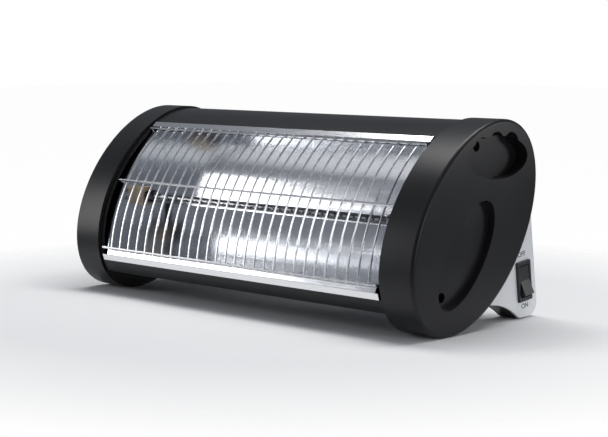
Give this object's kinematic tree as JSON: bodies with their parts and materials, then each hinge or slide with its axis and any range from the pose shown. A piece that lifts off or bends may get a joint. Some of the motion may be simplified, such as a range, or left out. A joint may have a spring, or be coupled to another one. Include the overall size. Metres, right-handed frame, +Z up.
{
  "type": "carbon heater",
  "caption": "Small carbon-lamp room heater: a wide drum with a polished trough and bowed wire guard between two leaning oval end caps, on two rear legs, with a rocker switch.",
  "frame": {"origin": "on the floor, under the middle of the overall length and depth", "axes": "+X along the drum toward the end with the switch, -Y out through the wire guard, +Z up"},
  "size_m": [0.418, 0.1777, 0.17],
  "materials": {
    "block_plastic": "off-white",
    "bracket_steel": "zinc plated sheet",
    "cap_plastic": "fine satin moulded black",
    "carbon": "woven carbon",
    "clip_steel": "blued spring steel",
    "cover_plastic": "gloss white",
    "guard_wire": "bright plated wire",
    "lamp_ceramic": "unglazed steatite",
    "lead_metal": "drawn wire",
    "pad_rubber": "soft black",
    "quartz": "clear quartz",
    "reflector_metal": "polished",
    "screw_steel": "zinc plated",
    "skin_paint": "satin black stove enamel",
    "switch_plastic": "satin black",
    "tab_brass": "bright",
    "trim_metal": "bright",
    "wire_cover": "silicone sleeve"
  },
  "bodies": {
    "heater_body": {"body_skin": "skin_paint", "bottom_trim": "trim_metal", "cable_gland": "pad_rubber", "carbon_ribbon": "carbon", "end_cap_screws": "screw_steel", "left_end_bracket": "bracket_steel", "left_end_cap": "cap_plastic", "left_foot_pad": "pad_rubber", "left_lamp_cap": "lamp_ceramic", "left_lamp_clip": "clip_steel", "left_lamp_lead": "lead_metal", "left_lamp_wire": "wire_cover", "left_leg": "cap_plastic", "left_leg_cover": "cover_plastic", "left_reflector_end": "reflector_metal", "leg_screws": "screw_steel", "quartz_tube": "quartz", "reflector": "reflector_metal", "right_end_bracket": "bracket_steel", "right_end_cap": "cap_plastic", "right_foot_pad": "pad_rubber", "right_lamp_cap": "lamp_ceramic", "right_lamp_clip": "clip_steel", "right_lamp_lead": "lead_metal", "right_lamp_wire": "wire_cover", "right_leg": "cap_plastic", "right_leg_cover": "cover_plastic", "right_reflector_end": "reflector_metal", "skin_screws": "screw_steel", "switch_blades": "tab_brass", "switch_housing": "switch_plastic", "terminal_block": "block_plastic", "top_trim": "trim_metal", "wire_guard": "guard_wire"},
    "rocker": {"switch_rocker": "switch_plastic"}
  },
  "joints": [
    {"name": "rocker_tilt", "type": "hinge", "parent": "heater_body", "child": "rocker", "pos_m": [0.1945, 0.0694, 0.03209], "axis": [0, 0.9921, 0.1253], "range_deg": [0, 22]}
  ]
}
